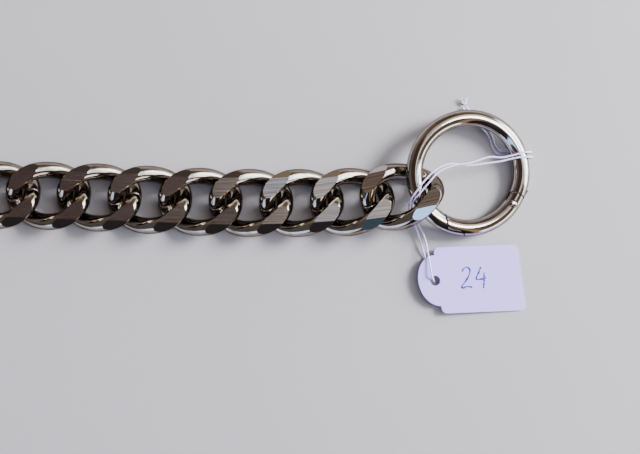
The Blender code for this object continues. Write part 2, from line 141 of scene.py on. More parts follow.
THREAD_RADIUS = 0.28
KNOT_AT = Vector((-0.9, 21.3, 1.0))
THREAD_ROUTE = [
    (-0.2, 20.2, 0.9), (1.7, 17.9, 0.6), (4.3, 15.6, 0.5), (6.6, 13.2, 0.4), (7.8, 10.8, 0.4),
    (8.6, 8.4, 0.4), (10.0, 6.9, 0.4), (12.4, 6.6, 0.35), (15.2, 6.3, 0.34), (17.2, 6.2, 0.7),
    (18.7, 6.2, 2.0), (19.1, 6.3, 3.6), (18.4, 6.3, 5.2), (17.0, 6.2, 6.2), (15.2, 5.8, 6.6),
    (12.9, 5.2, 6.6), (10.1, 4.6, 6.9), (6.1, 4.7, 7.8), (0.3, 2.9, 9.4), (-5.4, 1.9, 10.4),
    (-9.3, 0.0, 11.2), (-12.2, -3.1, 11.7), (-14.9, -6.3, 11.2), (-16.4, -8.1, 10.0),
    (-17.0, -9.9, 7.6), (-16.7, -11.9, 4.8), (-15.4, -14.4, 3.2), (-12.8, -19.6, 2.6),
    (-11.5, -26.4, 3.2), (-10.8, -30.6, 3.6), (-10.3, -32.0, 2.7), (-10.2, -32.5, 1.6),
    (-10.9, -31.4, 0.7), (-12.4, -26.1, 0.7), (-14.6, -18.8, 1.8), (-16.4, -14.4, 3.4),
    (-17.6, -11.7, 5.2), (-17.8, -9.4, 8.4), (-17.2, -7.6, 10.6), (-15.8, -5.6, 11.5),
    (-13.2, -2.2, 11.7), (-9.8, 0.9, 10.9), (-5.8, 2.6, 9.7), (0.1, 2.2, 8.6), (5.7, 2.9, 7.6),
    (9.9, 3.5, 6.9), (12.7, 4.2, 6.6), (15.4, 4.7, 6.6), (17.3, 4.8, 6.2), (18.8, 4.8, 5.1),
    (19.4, 4.7, 3.6), (19.1, 4.7, 1.8), (18.0, 4.8, 0.65), (16.6, 5.1, 0.35), (15.0, 5.4, 0.34),
    (12.0, 5.5, 0.35), (9.3, 5.9, 0.4), (7.7, 7.7, 0.4), (6.9, 10.2, 0.4), (5.7, 12.5, 0.4),
    (3.3, 14.9, 0.5), (0.6, 17.4, 0.6), (-1.3, 20.0, 0.9),
]


# ---------------------------------------------------------------- what differs from the CAD

# the bevels seen from above are flatter than the CAD's, and start at their own distances
SHOWN_SLOPE = radians(30)
FAR_EDGE_Y = 7.35
NEAR_EDGE_Y = 6.75
# the ring's wire is a hair thinner, so that it clears the end link where the ring lifts most
RING_SHOWN_RADIUS = 2.46
HEAD_CLEARANCE = 0.22
HEAD_BED = 0.15


# ---------------------------------------------------------------- where things stand

def on_ring(azimuth, radius=RING_RADIUS):
    """A point of the ring's own plane."""
    return Vector((radius * cos(azimuth), radius * sin(azimuth), 0))


def ring_standing():
    """The ring's place, found from the middle of its pin's box."""
    turn = Matrix.Rotation(RING_TILT_Y, 4, "Y") @ Matrix.Rotation(RING_TILT_X, 4, "X")
    low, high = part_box("ring_pin")
    pin = (low + high) / 2 / MM
    return Matrix.Translation(pin - turn @ on_ring(PIN_AZIMUTH)) @ turn


RING_PLACE = ring_standing()
PLAN_ORIGIN = Vector((RING_PLACE.translation.x, RING_PLACE.translation.y, 0))


def link_turn(index):
    """A link's rotation: the end link's turn as it has faded here, and the wave's own way."""
    fade = TURN_FADE ** index
    wave_step = 2 * pi / WAVE_LINKS
    wave_slope = -WAVE_HEIGHT * wave_step * sin(wave_step * (index - WAVE_START)) / PITCH
    yaw = END_LINK_YAW * fade + wave_slope * (1 - fade)
    pitch = END_LINK_PITCH if index == 0 else 0.0
    roll = END_LINK_ROLL * fade + ROLL_SHAKE * sin(2.1 * index)
    return (Matrix.Rotation(yaw, 4, "Z") @ Matrix.Rotation(pitch, 4, "Y")
            @ Matrix.Rotation(roll, 4, "X"))


def link_place(index):
    """A link's place: its CAD solid's middle, with its turn."""
    mesh = nodes["link_%02d" % (index + 1)].data
    area = sum(face.area for face in mesh.polygons)
    middle = sum((face.center * face.area for face in mesh.polygons), Vector()) / area
    return Matrix.Translation(middle / MM) @ link_turn(index)


# ---------------------------------------------------------------- shader maths

class Line:
    """A node's output. Arithmetic on it adds Math nodes."""

    def __init__(self, finish, socket):
        self.finish, self.socket = finish, socket

    def maths(self, operation, *values):
        return self.finish.node("Math", {"operation": operation}, dict(enumerate(values)))

    def __add__(self, other):
        return self.maths("ADD", self, other)

    def __mul__(self, other):
        return self.maths("MULTIPLY", self, other)

    __radd__ = __add__
    __rmul__ = __mul__


class Finish:
    """The nodes of one material, or of the world."""

    def __init__(self, owner):
        owner.use_nodes = True
        self.owner, self.tree = owner, owner.node_tree

    def join(self, socket, value):
        """Give a socket a value or a line."""
        if isinstance(value, Line):
            self.tree.links.new(value.socket, socket)
        else:
            socket.default_value = value

    def node(self, kind, settings=None, sockets=None, output=0):
        """Add a node: its settings first, then its sockets; returns one output."""
        made = self.tree.nodes.new("ShaderNode" + kind)
        for name, value in (settings or {}).items():
            setattr(made, name, value)
        for key, value in (sockets or {}).items():
            self.join(made.inputs[key], value)
        return Line(self, made.outputs[output])

    def mix(self, share, first, second):
        """Two colours mixed by a share."""
        return self.node("Mix", {"data_type": "RGBA"}, {0: share, 6: first, 7: second}, 2)

    def spread(self, value, low, high, to_low=0.0, to_high=1.0):
        """A value's range moved smoothly to another."""
        return self.node("MapRange", {"interpolation_type": "SMOOTHSTEP"},
                         {0: value, 1: low, 2: high, 3: to_low, 4: to_high})

    def place(self):
        """The point's place on the object."""
        return self.node("TexCoord", output="Object")

    def grain_uv(self):
        """The point's place in the piece's own map."""
        return self.node("UVMap", {"uv_map": "grain"})

    def stretched(self, vector, scale):
        """A place scaled along its axes."""
        return self.node("Mapping", {}, {"Vector": vector, "Scale": scale})

    def mottle(self, vector, scale, detail=3.0, roughness=0.55, distortion=0.0):
        """Noise from 0 to 1 round a half."""
        return self.node("TexNoise", {}, {"Vector": vector, "Scale": scale, "Detail": detail,
                                          "Roughness": roughness, "Distortion": distortion})

    def relief(self, height, distance, strength=1.0, under=None):
        """A bump from a height, on top of another bump if there is one."""
        sockets = {"Height": height, "Distance": distance, "Strength": strength}
        if under is not None:
            sockets["Normal"] = under
        return self.node("Bump", {}, sockets)

    def surface(self, **sockets):
        """The Principled shader's sockets, by name with _ for a space."""
        shader = self.tree.nodes["Principled BSDF"]
        for name, value in sockets.items():
            self.join(shader.inputs[name.replace("_", " ")], value)


def colour(red, green, blue):
    return (red, green, blue, 1.0)


def nickel(name, bright, dull, waviness, scuffing):
    """Polished plating: hand-buffed waves, faint tarnish and fine scuffs."""
    finish = Finish(bpy.data.materials.new(name))
    place = finish.place()
    tarnish = finish.spread(finish.mottle(place, 260, 4), 0.45, 0.72)
    rubbed = finish.stretched(place, (1, 3.5, 2))
    scuffs = finish.spread(finish.mottle(rubbed, 1400, 5, 0.7), 0.55, 0.8)
    waves = finish.relief(finish.mottle(place, 330, 2), waviness)
    pits = finish.relief(finish.mottle(place, 5200, 2), 0.000001, under=waves)
    finish.surface(
        Base_Color=finish.mix(tarnish, bright, dull), Metallic=1.0, Specular_Tint=EDGE_TINT,
        Roughness=0.05 + scuffing * scuffs + 0.05 * tarnish, Normal=pits)
    return finish.owner


def milled_nickel(name):
    """A plated milled face: straight tool lines along the link, some deeper than others."""
    finish = Finish(bpy.data.materials.new(name))
    grain = finish.grain_uv()

    def drawn_out(along, across, detail, roughness=0.55):
        """Noise stretched along the tool's path."""
        return finish.mottle(finish.stretched(grain, (along, across, 1)), 1.0, detail, roughness)

    depth = finish.spread(drawn_out(0.04, 0.11, 1), 0.38, 0.62)
    coarse = drawn_out(0.035, 1.9, 2, 0.5)
    fine = drawn_out(0.10, 7.0, 3, 0.6)
    streak = finish.spread(drawn_out(0.05, 2.6, 3, 0.7), 0.36, 0.66)
    lines = finish.relief((0.25 + depth) * coarse, 0.000042)
    lines = finish.relief(fine, 0.0000055, under=lines)
    finish.surface(
        Base_Color=finish.mix(streak, colour(0.62, 0.58, 0.55), colour(0.34, 0.31, 0.29)),
        Metallic=1.0, Specular_Tint=EDGE_TINT, Roughness=0.11 + 0.11 * streak, Normal=lines)
    return finish.owner


def bevel_nickel(name):
    """The plated flat on a link's outer side, left smooth by its cutter."""
    finish = Finish(bpy.data.materials.new(name))
    grain = finish.grain_uv()
    lines = finish.mottle(finish.stretched(grain, (0.06, 2.4, 1)), 1.0, 2)
    finish.surface(
        Base_Color=finish.mix(lines, colour(0.60, 0.57, 0.54), colour(0.50, 0.46, 0.42)),
        Metallic=1.0, Specular_Tint=EDGE_TINT, Roughness=0.06 + 0.05 * lines,
        Normal=finish.relief(lines, 0.000004))
    return finish.owner


def painted_gap_shade(name):
    """Painted shade for the inside of a seam, a slot or a bore: the plated faces coloured near
    black where they lie in shade.
    """
    finish = Finish(bpy.data.materials.new(name))
    painted_shade_mottle = finish.mottle(finish.place(), 2500)
    finish.surface(
        Base_Color=finish.mix(painted_shade_mottle, colour(0.05, 0.043, 0.038), colour(0.12, 0.10, 0.09)),
        Metallic=0.6, Roughness=0.55)
    return finish.owner


def card(name):
    """Pale lilac card with a fine felted surface."""
    finish = Finish(bpy.data.materials.new(name))
    place = finish.place()
    fibres = finish.mottle(finish.stretched(place, (1, 0.35, 1)), 5200, 4, 0.65)
    clouds = finish.mottle(place, 130, 3)
    finish.surface(
        Base_Color=finish.mix(0.45 * fibres + 0.5 * clouds, colour(0.39, 0.32, 0.76),
                              colour(0.45, 0.37, 0.86)),
        Roughness=0.62 + 0.2 * fibres, Normal=finish.relief(fibres, 0.00001))
    return finish.owner


def cotton(name):
    """Bleached sewing thread, its hairs lying along the plies."""
    finish = Finish(bpy.data.materials.new(name))
    hairs = finish.mottle(finish.place(), 9000, 4, 0.7)
    finish.surface(Base_Color=finish.mix(hairs, colour(0.50, 0.46, 0.76), colour(0.70, 0.65, 0.92)),
                   Roughness=0.6 + 0.3 * hairs, Subsurface_Weight=0.15, Subsurface_Scale=0.0005,
                   Normal=finish.relief(hairs, 0.000012))
    return finish.owner


def pen_ink(name):
    """Ball pen ink, unevenly laid."""
    finish = Finish(bpy.data.materials.new(name))
    skips = finish.spread(finish.mottle(finish.place(), 2600, 3), 0.4, 0.7)
    finish.surface(
        Base_Color=finish.mix(skips, colour(0.012, 0.008, 0.26), colour(0.03, 0.02, 0.40)),
        Roughness=0.45 + 0.2 * skips)
    return finish.owner


def table_top(name):
    """Pale painted table with faint clouds and a fine tooth."""
    finish = Finish(bpy.data.materials.new(name))
    place = finish.place()
    clouds = finish.mottle(place, 9, 4)
    tooth = finish.mottle(place, 1500, 3)
    finish.surface(
        Base_Color=finish.mix(0.7 * clouds + 0.3 * tooth, colour(0.345, 0.334, 0.354),
                              colour(0.380, 0.367, 0.389)),
        Roughness=0.36, Normal=finish.relief(tooth, 0.00001))
    return finish.owner


EDGE_TINT = colour(0.17, 0.13, 0.10)
WIRE_NICKEL = nickel("polished_wire", bright=colour(0.35, 0.31, 0.27),
                     dull=colour(0.25, 0.21, 0.17), waviness=0.000040, scuffing=0.12)
RING_NICKEL = nickel("polished_ring", bright=colour(0.47, 0.435, 0.40),
                     dull=colour(0.36, 0.32, 0.28), waviness=0.000012, scuffing=0.06)
MILLED = milled_nickel("milled_face")
BEVELLED = bevel_nickel("milled_bevel")
# painted shade: the cut faces inside the ring's seams, slot and bores are coloured near black
SEAM_PAINTED_SHADE = painted_gap_shade("seam_shadow")
CARD = card("lilac_card")
COTTON = cotton("white_thread")
INK = pen_ink("pen_ink")


# ---------------------------------------------------------------- modelling tools

def new_piece(name, shape, finishes, place=Matrix.Identity(4), smooth_under=40):
    """Make an object of a bmesh in millimetres, with its place in its mesh."""
    bmesh.ops.transform(shape, matrix=Matrix.Scale(MM, 4) @ place, verts=shape.verts)
    mesh = bpy.data.meshes.new(name)
    shape.to_mesh(mesh)
    shape.free()
    for finish in finishes:
        mesh.materials.append(finish)
    flat = np.array([not face.use_smooth for face in mesh.polygons])
    mesh.shade_smooth()
    mesh.set_sharp_from_angle(angle=radians(smooth_under))
    mesh.polygons.foreach_set("use_smooth", ~flat)
    piece = bpy.data.objects.new(name, mesh)
    bpy.context.scene.collection.objects.link(piece)
    return piece


def upright(point, heading):
    """A frame at a point with its Z along a heading and its X as level as can be."""
    across = heading.cross(Vector((0, 0, 1))).normalized()
    up = across.cross(heading).normalized()
    return Matrix.Translation(point) @ Matrix((across, up, -heading)).transposed().to_4x4()


def sweep(shape, places, sides, radius, closed=False):
    """Extrude a circle through places, and join its ends or close them."""
    start = bmesh.ops.create_circle(shape, segments=sides, radius=radius, matrix=places[0])["verts"]
    first = list({edge for vert in start for edge in vert.link_edges})
    rim = first
    for before, place in zip(places, places[1:]):
        made = bmesh.ops.extrude_edge_only(shape, edges=rim)["geom"]
        verts = {item for item in made if isinstance(item, bmesh.types.BMVert)}
        rim = [item for item in made
               if isinstance(item, bmesh.types.BMEdge) and verts.issuperset(item.verts)]
        bmesh.ops.transform(shape, matrix=place @ before.inverted(), verts=list(verts))
    if closed:
        bmesh.ops.bridge_loops(shape, edges=first + rim)
    else:
        bmesh.ops.holes_fill(shape, edges=first + rim, sides=0)
    for face in shape.faces:
        face.smooth = True
    bmesh.ops.recalc_face_normals(shape, faces=shape.faces)


def mill(shape, point, normal, slot, side):
    """Cut the wire on one side of a link flat along a plane, and close it with a flat face."""
    half = [vert for vert in shape.verts if side * vert.co.y > 0]
    near = set(half)
    half += [edge for edge in shape.edges if near.issuperset(edge.verts)]
    half += [face for face in shape.faces if near.issuperset(face.verts)]
    bmesh.ops.bisect_plane(shape, geom=half, dist=0.0001, plane_co=point, plane_no=normal,
                           clear_outer=True)
    rim = [edge for edge in shape.edges if edge.is_boundary]
    for face in bmesh.ops.holes_fill(shape, edges=rim, sides=0)["faces"]:
        face.material_index = slot
        face.smooth = False


# ---------------------------------------------------------------- the links

WIRE_SIDES = 44
WIRE_STEPS = 150
PICTURED_LINKS = 9
# the slit between the wire's ends, as distances from its middle and the wire's size there
SEAM_STOPS = ((0.0, 0.70), (0.07, 0.72), (0.10, 0.93), (0.16, 0.975), (0.26, 1.0), (0.5, 1.0))
# these have the slit at their right end, and the others at their left
RIGHT_SEAMS = (6, 8, 11, 16, 17, 21)


def link_centreline(stops):
    """Points and headings at stops, as shares of the way round the twisted oval."""
    turn = np.linspace(0, 2 * pi, 4000)
    power = 2 / LINK_SQUARENESS
    x = LINK_HALF_LENGTH * np.sign(np.cos(turn)) * np.abs(np.cos(turn)) ** power
    y = LINK_HALF_WIDTH * np.sign(np.sin(turn)) * np.abs(np.sin(turn)) ** power
    travel = np.concatenate([[0], np.cumsum(np.hypot(np.diff(x), np.diff(y)))])
    length = travel[-1]

    def at(share):
        along = (share % 1.0) * length
        px, py = np.interp(along, travel, x), np.interp(along, travel, y)
        twist = -LINK_END_TWIST * px / LINK_HALF_LENGTH
        return Vector((px, py * cos(twist), py * sin(twist)))

    points = [at(share) for share in stops]
    headings = [(at(share + 0.002) - at(share - 0.002)).normalized() for share in stops]
    return points, headings, length


def bent_wire(seam_at):
    """Round wire bent to a link, with the slit where its ends meet."""
    length = link_centreline([0])[2]
    stops = []
    for share in np.linspace(0, 1, WIRE_STEPS, endpoint=False):
        if abs((share - seam_at + 0.5) % 1 - 0.5) * length > SEAM_STOPS[-1][0] + 0.1:
            stops.append((share, 1.0))
    for offset, size in SEAM_STOPS:
        for side in (1, -1) if offset else (1,):
            stops.append((seam_at + side * offset / length, size))
    stops.sort()
    points, headings, _ = link_centreline([share for share, _ in stops])
    places = [upright(point, heading) @ Matrix.Scale(size, 4)
              for point, heading, (_, size) in zip(points, headings, stops)]
    shape = bmesh.new()
    sweep(shape, places, WIRE_SIDES, WIRE_RADIUS, closed=True)
    return shape


def leaning(normal, lean):
    """A face's normal tipped by degrees to the right and away."""
    right, away = (radians(degrees) for degrees in lean)
    return Matrix.Rotation(right, 3, "Y") @ Matrix.Rotation(-away, 3, "X") @ normal


def upper_lean(index, side):
    """How far a milled upper face leans: level on the pictured links, a degree on the rest."""
    if index < PICTURED_LINKS:
        return 0.0, 0.0
    if side > 0:
        return sin(3.1 * index), sin(1.7 * index)
    return sin(2.3 * index), sin(4.1 * index)


def milled_link(wire, index):
    """A bent link after milling: two faces above and two below, each with its bevel."""
    shape = wire.copy()
    for face in (1, -1):
        for side in (1, -1):
            lean, edge_y, slope = (0.0, 0.0), BEVEL_EDGE_Y, BEVEL_SLOPE
            if face > 0:
                lean, slope = upper_lean(index, side), SHOWN_SLOPE
                edge_y = FAR_EDGE_Y if side > 0 else NEAR_EDGE_Y
            middle = Vector((-4.5 * side * face, 5.0 * side, face * MILLED_HALF_THICKNESS))
            mill(shape, middle, leaning(Vector((0, 0, face)), lean), 1, side)
            edge = Vector((0, side * edge_y, face * MILLED_HALF_THICKNESS))
            mill(shape, edge, Vector((0, side * sin(slope), face * cos(slope))), 2, side)
    bmesh.ops.recalc_face_normals(shape, faces=shape.faces)
    grain = shape.loops.layers.uv.new("grain")
    for face in shape.faces:
        for loop in face.loops:
            x, y, z = loop.vert.co
            loop[grain].uv = (x + 37.0 * index, y + 5.3 * index + (20.0 if z < 0 else 0.0))
    return shape


def add_links():
    """Every link in its place, riding on its own body."""
    wires = {False: bent_wire(0.5), True: bent_wire(0.0)}
    for index in range(LINK_COUNT):
        node = "link_%02d" % (index + 1)
        piece = new_piece("curb_" + node, milled_link(wires[index in RIGHT_SEAMS], index),
                          (WIRE_NICKEL, MILLED, BEVELLED), link_place(index))
        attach(piece, "end_link" if index == 0 else "chain_%02d" % (index + 1))
        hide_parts(node)


# ---------------------------------------------------------------- the ring, gate and pin

def arc(centre, radius, start, end, steps):
    """Points along a flat arc."""
    return [(centre[0] + radius * cos(a), centre[1] + radius * sin(a))
            for a in np.linspace(start, end, steps + 1)]


def seam_arc(radius, start_radius, end_radius, steps=16):
    """Points at one distance from the pin, from one distance off the ring's centre to another."""
    pin = on_ring(PIN_AZIMUTH)
    heading = atan2(pin.y, pin.x)
    points = []
    for reach in np.linspace(start_radius, end_radius, steps + 1):
        opening = (RING_RADIUS ** 2 + radius ** 2 - reach ** 2) / (2 * RING_RADIUS * radius)
        angle = heading + pi + float(np.arccos(opening))
        points.append((pin.x + radius * cos(angle), pin.y + radius * sin(angle)))
    return points


def pin_distance(azimuth, radius):
    return (on_ring(azimuth, radius) - on_ring(PIN_AZIMUTH)).length


def stepped_seam(gap):
    """The seam between gate and body, shifted from the middle by a gap: nose, lap and lip."""
    lap = LAP_RADIUS + gap
    nose = seam_arc(pin_distance(NOSE_AZIMUTH, RING_RADIUS) + gap, RING_INNER, lap)
    lip = seam_arc(pin_distance(LAP_END_AZIMUTH, LAP_RADIUS) + gap, lap, RING_OUTER)
    start = atan2(nose[-1][1], nose[-1][0]) % (2 * pi)
    end = atan2(lip[0][1], lip[0][0]) % (2 * pi)
    return nose + arc((0, 0), lap, start, end, 10)[1:-1] + lip


def slab(outline, half_thickness):
    """A flat plate as a bmesh, of one outline."""
    shape = bmesh.new()
    corners = [shape.verts.new((x, y, -half_thickness)) for x, y in outline]
    face = shape.faces.new(corners)
    top = bmesh.ops.extrude_face_region(shape, geom=[face])["geom"]
    bmesh.ops.translate(shape, vec=(0, 0, 2 * half_thickness),
                        verts=[item for item in top if isinstance(item, bmesh.types.BMVert)])
    bmesh.ops.recalc_face_normals(shape, faces=shape.faces)
    return shape


def turned(profile, steps=48):
    """A turned solid about its own Z from (radius, height) pairs, top to bottom."""
    shape = bmesh.new()
    spun = [shape.verts.new((radius, 0, height)) for radius, height in profile]
    edges = [shape.edges.new(pair) for pair in zip(spun, spun[1:])]
    bmesh.ops.spin(shape, geom=spun + edges, cent=(0, 0, 0), axis=(0, 0, 1), angle=2 * pi,
                   steps=steps, use_merge=True)
    bmesh.ops.remove_doubles(shape, verts=shape.verts, dist=0.0001)
    bmesh.ops.recalc_face_normals(shape, faces=shape.faces)
    return shape


def ring_tube(start, end, steps, sides=56):
    """A stretch of the ring's round wire."""
    places = []
    for azimuth in np.linspace(start, end, steps + 1):
        places.append(upright(on_ring(azimuth), Vector((-sin(azimuth), cos(azimuth), 0))))
    shape = bmesh.new()
    sweep(shape, places, sides, RING_SHOWN_RADIUS)
    return shape


def carved(shape, cuts):
    """A solid after Booleans, each an operation and another solid."""
    def stand_in(solid, name):
        mesh = bpy.data.meshes.new(name)
        solid.to_mesh(mesh)
        solid.free()
        thing = bpy.data.objects.new(name, mesh)
        bpy.context.scene.collection.objects.link(thing)
        return thing

    block = stand_in(shape, "carved")
    cutters = []
    for operation, solid in cuts:
        cutter = stand_in(solid, "cutter")
        cutters.append(cutter)
        modifier = block.modifiers.new("cut", "BOOLEAN")
        modifier.operation, modifier.object, modifier.solver = operation, cutter, "EXACT"
    bpy.context.view_layer.update()
    mesh = bpy.data.meshes.new_from_object(
        block.evaluated_get(bpy.context.evaluated_depsgraph_get()))
    for thing in [block] + cutters:
        bpy.data.objects.remove(thing, do_unlink=True)
    result = bmesh.new()
    result.from_mesh(mesh)
    bmesh.ops.remove_doubles(result, verts=result.verts, dist=0.002)
    for face in result.faces:
        face.smooth = True
    return result


def paint_shade_on_cuts(shape):
    """Give the faces that a cutter left in the ring's wire the painted shade of a seam."""
    for face in shape.faces:
        middle = face.calc_center_median()
        outward = middle - on_ring(atan2(middle.y, middle.x))
        if face.normal.dot(outward.normalized()) < 0.9:
            face.material_index = 1
    return shape


def moved(shape, place):
    bmesh.ops.transform(shape, matrix=place, verts=shape.verts)
    return shape


def tongue_outline(radius, half_width, length):
    """A plate rounded behind the pin that runs on towards the ring's body."""
    along = PIN_AZIMUTH + pi / 2
    pin = on_ring(PIN_AZIMUTH)
    forward = Vector((cos(along), sin(along), 0))
    side = Vector((-forward.y, forward.x, 0))
    back = arc(pin, radius, along + pi / 2, along + 3 * pi / 2, 24)
    ahead = [pin - side * half_width, pin + forward * length - side * half_width,
             pin + forward * length + side * half_width, pin + side * half_width]
    return back + [(place.x, place.y) for place in ahead]


def ring_body_shape():
    """The ring's body: bent wire, the seam for the gate's nose, the hinge's seat and tongue."""
    tall = 2 * RING_WIRE_RADIUS
    pin_place = Matrix.Translation(on_ring(PIN_AZIMUTH))
    beyond = LAP_END_AZIMUTH + 0.5
    seam = stepped_seam(SEAM / 2) + [tuple(on_ring(beyond, RING_OUTER)[:2]),
                                     tuple(on_ring(beyond, RING_INNER)[:2])]
    seat = turned([(0, tall), (BODY_SEAT_RADIUS, tall), (BODY_SEAT_RADIUS, -tall), (0, -tall)], 96)
    hole = turned([(0, tall), (PIN_BORE_RADIUS, tall), (PIN_BORE_RADIUS, -tall), (0, -tall)])
    tongue = tongue_outline(TONGUE_END_RADIUS, TONGUE_HALF_WIDTH, 6)
    return paint_shade_on_cuts(carved(
        ring_tube(PIN_AZIMUTH + radians(8), LAP_END_AZIMUTH + radians(368), 200),
        [("DIFFERENCE", slab(seam, tall)), ("DIFFERENCE", moved(seat, pin_place)),
         ("UNION", slab(tongue, TONGUE_HALF_THICKNESS)),
         ("DIFFERENCE", moved(hole, pin_place))]))


def gate_shape():
    """The gate: its stepped nose, its rounded hinge end, the tongue's slot and the pin's bore."""
    tall = 2 * RING_WIRE_RADIUS
    seam = stepped_seam(-SEAM / 2)
    start = atan2(seam[-1][1], seam[-1][0]) % (2 * pi)
    along = PIN_AZIMUTH + pi / 2
    outline = (seam + arc((0, 0), RING_OUTER, start, PIN_AZIMUTH - 0.1, 20)[1:]
               + arc(on_ring(PIN_AZIMUTH), GATE_END_RADIUS, along - pi / 2, along + pi / 2, 40)
               + arc((0, 0), RING_INNER, PIN_AZIMUTH - 0.2, radians(250), 12))
    head_bottom = PIN_REACH - PIN_HEAD_THICKNESS - HEAD_BED
    head = PIN_HEAD_RADIUS + HEAD_CLEARANCE
    bore = turned([(0, tall), (head, tall), (head, head_bottom), (PIN_BORE_RADIUS, head_bottom),
                   (PIN_BORE_RADIUS, -head_bottom), (head, -head_bottom), (head, -tall),
                   (0, -tall)])
    slot = tongue_outline(SLOT_END_RADIUS, SLOT_HALF_WIDTH, 8)
    return paint_shade_on_cuts(carved(
        ring_tube(NOSE_AZIMUTH - radians(12), PIN_AZIMUTH + radians(14), 80),
        [("INTERSECT", slab(outline, tall)), ("DIFFERENCE", slab(slot, SLOT_HALF_THICKNESS)),
         ("DIFFERENCE", moved(bore, Matrix.Translation(on_ring(PIN_AZIMUTH))))]))


def pin_shape():
    """The hinge pin: a domed head on each end of a shaft."""
    dome = [(PIN_HEAD_RADIUS * sin(a), PIN_REACH - PIN_DOME * (1 - cos(a)))
            for a in np.linspace(0, pi / 2, 9)]
    under_head = PIN_REACH - PIN_HEAD_THICKNESS
    upper = dome + [(PIN_HEAD_RADIUS, under_head), (PIN_SHAFT_RADIUS, under_head)]
    shape = turned(upper + [(radius, -height) for radius, height in reversed(upper)])
    for face in shape.faces:
        face.smooth = True
    return shape


def add_ring():
    # the ring's cut faces take the painted seam shade in their second slot
    body = new_piece("ring_wire", ring_body_shape(), (RING_NICKEL, SEAM_PAINTED_SHADE), RING_PLACE, 30)
    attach(body, "ring")
    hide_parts("ring_body")
    gate = new_piece("spring_gate", gate_shape(), (RING_NICKEL, SEAM_PAINTED_SHADE), RING_PLACE, 30)
    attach(gate, "gate")
    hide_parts("ring_gate")
    pin_place = RING_PLACE @ Matrix.Translation(on_ring(PIN_AZIMUTH))
    pin = new_piece("hinge_pin", pin_shape(), (RING_NICKEL,), pin_place, 60)
    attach(pin, "ring")
    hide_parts("ring_pin")


# ---------------------------------------------------------------- the tag

TAG_PLACE = (Matrix.Translation(PLAN_ORIGIN + TAG_HOLE_AT)
             @ Matrix.Rotation(TAG_TURN, 4, "Z") @ Matrix.Rotation(TAG_TILT, 4, "Y"))


def tag_edge():
    """The card's outline: a round lobe, four rounded corners, a little askew."""
    half, corner = TAG_HEIGHT / 2, TAG_CORNER
    left, right = TAG_SHOULDER_X, TAG_RIGHT_X
    depth = TAG_SHOULDER_X - TAG_TIP_X
    edge = [(left + depth * cos(a), TAG_LOBE_HALF_HEIGHT * sin(a))
            for a in np.linspace(pi / 2, 3 * pi / 2, 48)]
    edge += arc((left + corner, -half + corner), corner, pi, 1.5 * pi, 8)
    edge += arc((right - corner, -half + corner), corner, 1.5 * pi, 2 * pi, 8)
    edge += arc((right - corner, half - corner), corner, 0, pi / 2, 8)
    edge += arc((left + corner, half - corner), corner, pi / 2, pi, 8)
    return [(x - TAG_SKEW * y, y) for x, y in edge]


PEN_BEAD_RADIUS = 0.30
PEN_STROKE_STEPS = 70
PEN_STROKES = (
    ((8.3, 2.5), (8.9, 3.4), (9.9, 3.7), (10.7, 2.9), (10.4, 1.4), (9.4, -0.3), (8.0, -2.2),
     (8.4, -2.5), (9.6, -2.1), (11.2, -2.4)),
    ((14.0, 3.6), (13.3, 1.9), (12.6, 0.1), (13.7, -0.1), (15.6, 0.3)),
    ((15.0, 1.9), (14.9, -0.5), (14.7, -2.8)),
)


def pen_number():
    """The plain number 24 in pen strokes, as flat beads of ink on the card."""
    shape = bmesh.new()
    for stroke in PEN_STROKES:
        points, _ = smooth_route([(x, y, 0) for x, y in stroke], PEN_STROKE_STEPS)
        places = []
        for index, point in enumerate(points):
            heading = (points[min(index + 1, PEN_STROKE_STEPS - 1)]
                       - points[max(index - 1, 0)])
            press = 0.75 + 0.25 * sin(0.35 * index + stroke[0][0])
            places.append(upright(point, heading.normalized())
                          @ Matrix.Diagonal((press, 0.25, 1, 1)))
        sweep(shape, places, 8, PEN_BEAD_RADIUS)
    return shape


def add_tag():
    """The card tag on its thread, with a plain number in pen."""
    shape = slab(tag_edge(), TAG_THICKNESS / 2)
    punch = turned([(0, 2), (TAG_HOLE_RADIUS, 2), (TAG_HOLE_RADIUS, -2), (0, -2)], 64)
    shape = carved(shape, [("DIFFERENCE", punch)])
    rims = [edge for edge in shape.edges if edge.calc_face_angle(0) > radians(60)]
    bmesh.ops.bevel(shape, geom=rims, offset=0.06, offset_type="OFFSET", segments=2, profile=0.5,
                    affect="EDGES", material=-1)
    for face in shape.faces:
        face.smooth = False
    tag = new_piece("string_tag", shape, (CARD,), TAG_PLACE)
    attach(tag, "end_link")
    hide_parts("tag")
    number_place = TAG_PLACE @ Matrix.Translation((0, 0, TAG_THICKNESS / 2 + 0.01))
    number = new_piece("pen_number", pen_number(), (INK,), number_place)
    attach(number, "end_link")


# ---------------------------------------------------------------- the thread

THREAD_STEPS = 1300
PLY_TURN = 2.6
PLIES = 3


def smooth_route(stops, count):
    """Points evenly spaced along one smooth curve through the stops."""
    stops = [Vector(stop) for stop in stops]
    fine = []
    for index in range(len(stops) - 1):
        before = stops[max(index - 1, 0)]
        start, end = stops[index], stops[index + 1]
        after = stops[min(index + 2, len(stops) - 1)]
        reach = (end - start).length / 3
        leave = (end - before).normalized() * reach
        arrive = (after - start).normalized() * reach
        fine += interpolate_bezier(start, start + leave, end - arrive, end, 40)[:-1]
    fine.append(stops[-1])
    fine = np.array(fine)
    travel = np.concatenate([[0], np.cumsum(np.linalg.norm(np.diff(fine, axis=0), axis=1))])
    even = np.linspace(0, travel[-1], count)
    return [Vector([np.interp(even_at, travel, fine[:, axis]) for axis in range(3)])
            for even_at in even], float(travel[-1])


